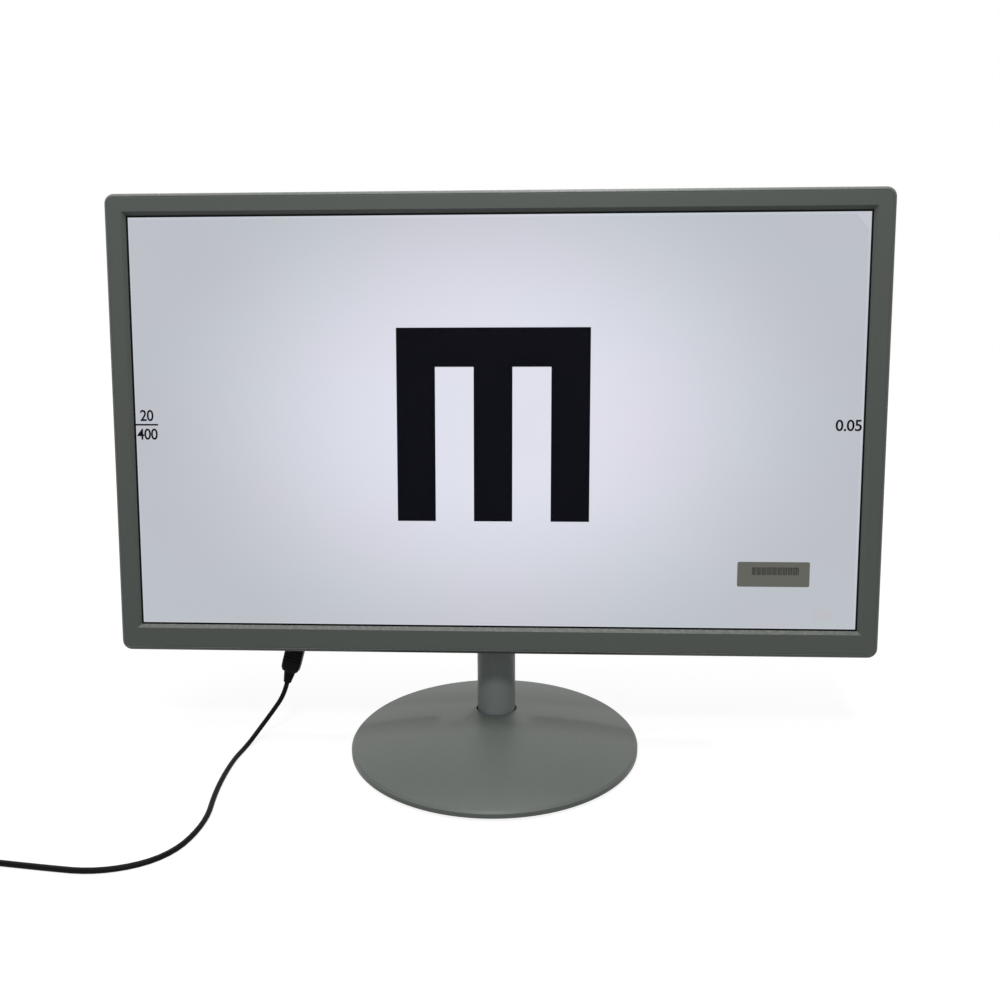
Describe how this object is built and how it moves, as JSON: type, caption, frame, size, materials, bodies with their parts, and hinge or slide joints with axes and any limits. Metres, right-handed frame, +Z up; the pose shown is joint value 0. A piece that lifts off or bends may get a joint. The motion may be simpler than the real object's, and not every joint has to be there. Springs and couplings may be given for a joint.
{
  "type": "visual acuity chart",
  "caption": "Flat screen that shows acuity test letters, on a round foot with a tilting neck, back keys and a power lead.",
  "frame": {"origin": "middle of the underside of the round foot", "axes": "+Z up, the screen faces -Y, +X to the right as seen from the front"},
  "size_m": [0.657, 0.443, 0.4111],
  "materials": {
    "shell": "fine texture",
    "black_plastic": "matt",
    "white_plastic": "matt",
    "clear_plastic": "clear",
    "panel_glass": "anti-glare",
    "film": "clear film",
    "steel": "zinc plated",
    "cast_plate": "painted",
    "brass": "turned",
    "rubber": "matt",
    "board": "solder mask"
  },
  "bodies": {
    "stand": {"base_cover": "shell", "base_plate": "cast_plate", "base_pads": "rubber", "base_screws": "steel", "neck_tube": "steel", "flange_screws": "steel", "neck_sleeve": "shell", "neck_cap": "black_plastic", "hinge_barrel": "steel", "friction_washers": "steel", "hinge_bolt": "steel", "hinge_nut": "steel", "lead_drop": "black_plastic", "lead_floor": "black_plastic", "lead_coil": "black_plastic", "lead_tail": "black_plastic", "power_adapter": "black_plastic", "adapter_prongs": "steel"},
    "head": {"hinge_bracket": "steel", "bracket_screws": "steel", "front_bezel": "shell", "rear_cover": "shell", "electronics_cover": "shell", "vesa_inserts": "brass", "cover_screws": "steel", "anchor_screws": "steel", "screen_film": "film", "module_frame": "black_plastic", "module_tray": "steel", "led_bar": "board", "chassis_plate": "steel", "main_board": "board", "power_board": "board", "board_screws": "steel", "key_board": "board", "dc_jack": "black_plastic", "dc_plug": "black_plastic", "lcd_glass": "panel_glass", "optical_films": "white_plastic", "light_guide": "clear_plastic", "reflector_sheet": "white_plastic", "hdmi_socket": "steel", "usb_socket": "steel"},
    "key_power": {"key_power": "shell"},
    "key_menu": {"key_menu": "shell"},
    "key_up": {"key_up": "shell"},
    "key_down": {"key_down": "shell"},
    "key_input": {"key_input": "shell"}
  },
  "joints": [
    {"name": "head_tilt", "type": "hinge", "parent": "stand", "child": "head", "pos_m": [0, 0.031, 0.14], "axis": [-1, 0, 0], "range_deg": [-11, 14], "deforming": ["lead_drop"]},
    {"name": "key_power_press", "type": "slide", "parent": "head", "child": "key_power", "axis": [0, -0.9945, 0.1045], "range_m": [0, 0.0006], "stiffness_N_per_m": 900},
    {"name": "key_menu_press", "type": "slide", "parent": "head", "child": "key_menu", "axis": [0, -0.9945, 0.1045], "range_m": [0, 0.0006], "stiffness_N_per_m": 900},
    {"name": "key_up_press", "type": "slide", "parent": "head", "child": "key_up", "axis": [0, -0.9945, 0.1045], "range_m": [0, 0.0006], "stiffness_N_per_m": 900},
    {"name": "key_down_press", "type": "slide", "parent": "head", "child": "key_down", "axis": [0, -0.9945, 0.1045], "range_m": [0, 0.0006], "stiffness_N_per_m": 900},
    {"name": "key_input_press", "type": "slide", "parent": "head", "child": "key_input", "axis": [0, -0.9945, 0.1045], "range_m": [0, 0.0006], "stiffness_N_per_m": 900}
  ]
}
